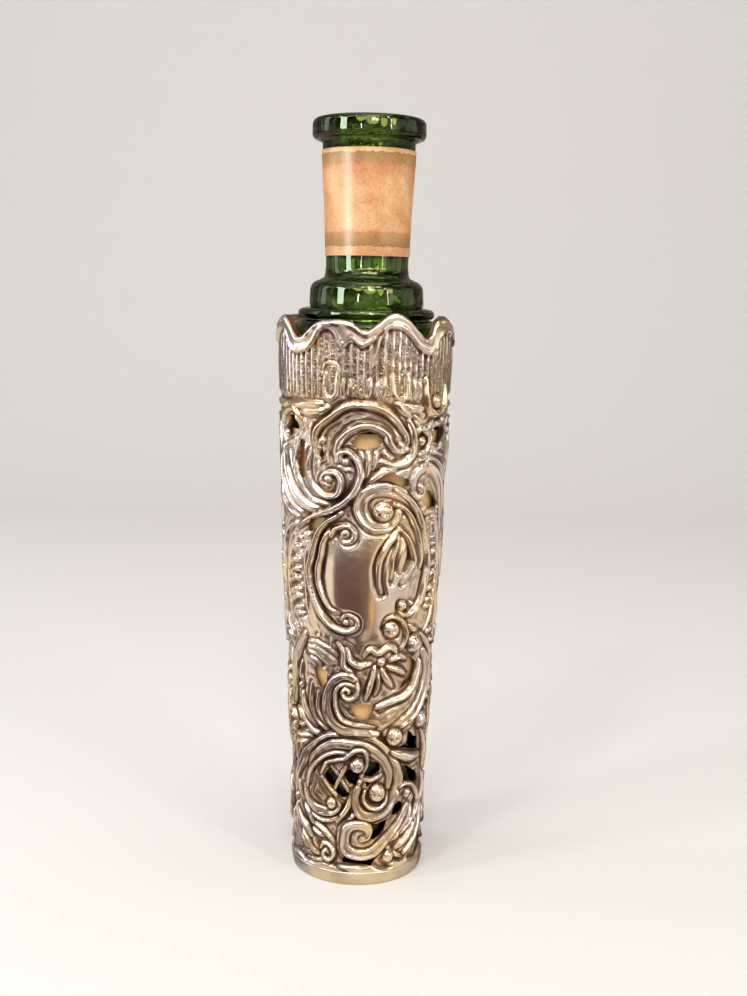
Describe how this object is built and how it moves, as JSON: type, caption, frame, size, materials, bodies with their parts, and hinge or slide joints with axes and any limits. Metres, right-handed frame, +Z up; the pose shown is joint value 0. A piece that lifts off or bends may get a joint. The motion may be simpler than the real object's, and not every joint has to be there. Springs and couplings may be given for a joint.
{
  "type": "scent bottle in pierced silver sleeve",
  "caption": "Tall green glass scent bottle with a turned-over lip and paper labels, standing in a tapered, pierced and chased silver sleeve with a scalloped rim.",
  "frame": {"origin": "centre of the flat underside of the base", "axes": "+Z up along the bottle's axis, -Y towards the front of the sleeve"},
  "size_m": [0.0388, 0.039, 0.1663],
  "materials": {
    "chased_silver": "polished silver with dark tarnish in the recesses",
    "plain_silver": "polished",
    "green_glass": "clear dark green, glossy",
    "label_paper": "aged paper, matte"
  },
  "bodies": {
    "case": {"case_body": "chased_silver", "base_collar": "plain_silver", "base_disc": "plain_silver"},
    "bottle": {"bottle": "green_glass", "neck_label": "label_paper", "body_label": "label_paper"}
  },
  "joints": [
    {"name": "bottle_lift", "type": "slide", "parent": "case", "child": "bottle", "axis": [0, 0, 1], "range_m": [0, 0.13]}
  ]
}
